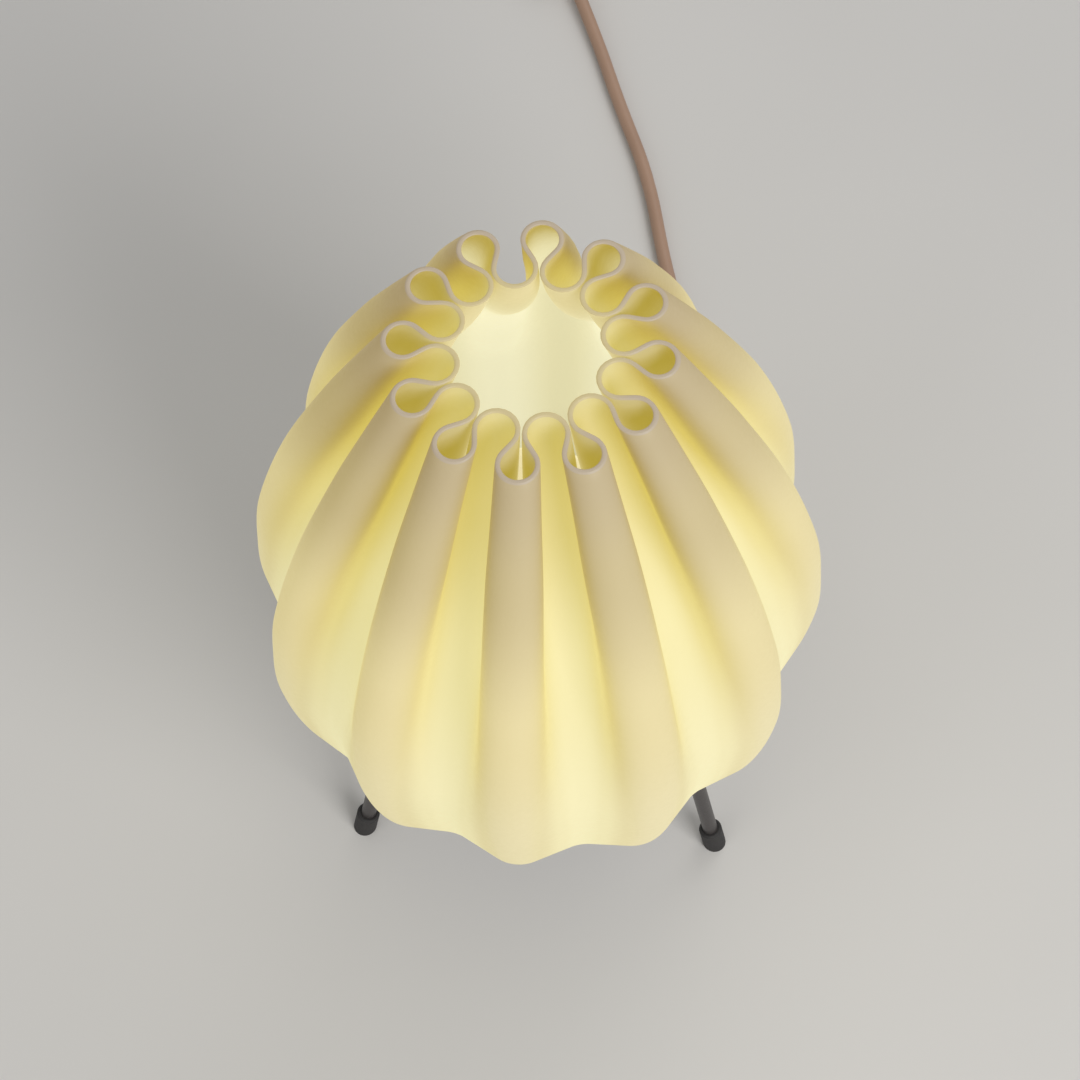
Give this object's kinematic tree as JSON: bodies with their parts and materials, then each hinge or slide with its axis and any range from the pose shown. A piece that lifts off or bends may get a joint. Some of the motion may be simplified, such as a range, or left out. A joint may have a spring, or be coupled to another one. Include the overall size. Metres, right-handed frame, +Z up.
{
  "type": "table lamp",
  "caption": "Table lamp with a translucent onion-shaped shade folded in deep upright ruffles, open at the top, on thin splayed rod legs, with its bulb, holder, corded rocker switch and plug.",
  "frame": {"origin": "on the table under the middle of the lamp", "axes": "+Z up, -Y towards the camera of the picture, +X to its right"},
  "size_m": [0.1998, 0.6488, 0.335],
  "materials": {
    "shade_plastic": "translucent cream, satin, thin enough to glow",
    "base_metal": "satin near black",
    "leg_metal": "satin dark grey",
    "foot_rubber": "matt black",
    "steel": "bright",
    "holder_plastic": "satin off-white",
    "holder_ceramic": "glazed white",
    "brass": "bright",
    "wire_sheath": "smooth",
    "solder": "dull",
    "bulb_black": "gloss black",
    "bulb_metal": "bright",
    "bulb_plastic": "white",
    "led_board": "white",
    "bulb_glass": "opal, lit",
    "cord_rubber": "matt",
    "cord_sheath": "satin, pale brown",
    "switch_plastic": "satin, pale brown",
    "rocker_plastic": "gloss dark brown",
    "pin_metal": "bright nickel",
    "sleeve_plastic": "black"
  },
  "bodies": {
    "base": {"base_body": "base_metal", "base_cover": "base_metal", "cover_screws": "steel", "leg_back": "leg_metal", "leg_left": "leg_metal", "leg_right": "leg_metal", "foot_back": "foot_rubber", "foot_left": "foot_rubber", "foot_right": "foot_rubber", "nipple": "steel", "nipple_washer": "steel", "nipple_nut": "steel", "holder_cap": "holder_plastic", "holder_shell": "holder_plastic", "holder_core": "holder_ceramic", "screw_sleeve": "brass", "centre_contact": "brass", "holder_wires": "wire_sheath", "cord_boot": "cord_rubber", "lamp_cord": "cord_sheath", "coil_lead": "cord_sheath", "cord_coil": "cord_sheath", "plug_lead": "cord_sheath", "switch_lower": "switch_plastic", "switch_upper": "switch_plastic", "switch_screws": "steel", "switch_terminals": "brass", "plug_body": "switch_plastic", "plug_pins": "pin_metal", "plug_pin_sleeves": "sleeve_plastic", "plug_boot": "cord_rubber"},
    "shade": {"shade": "shade_plastic"},
    "bulb": {"bulb_contact": "solder", "bulb_insulator": "bulb_black", "bulb_cap": "bulb_metal", "bulb_housing": "bulb_plastic", "led_board": "led_board", "bulb_globe": "bulb_glass"},
    "rocker": {"switch_rocker": "rocker_plastic"}
  },
  "joints": [
    {"name": "shade_lift", "type": "slide", "parent": "base", "child": "shade", "axis": [0, 0, 1], "range_m": [0, 0.16]},
    {"name": "bulb_lift", "type": "slide", "parent": "base", "child": "bulb", "axis": [0, 0, 1], "range_m": [0, 0.03]},
    {"name": "switch_rock", "type": "hinge", "parent": "base", "child": "rocker", "pos_m": [-0.03791, 0.41419, 0.0122], "axis": [0.9092, 0.4163, 0], "range_deg": [0, 14]}
  ]
}
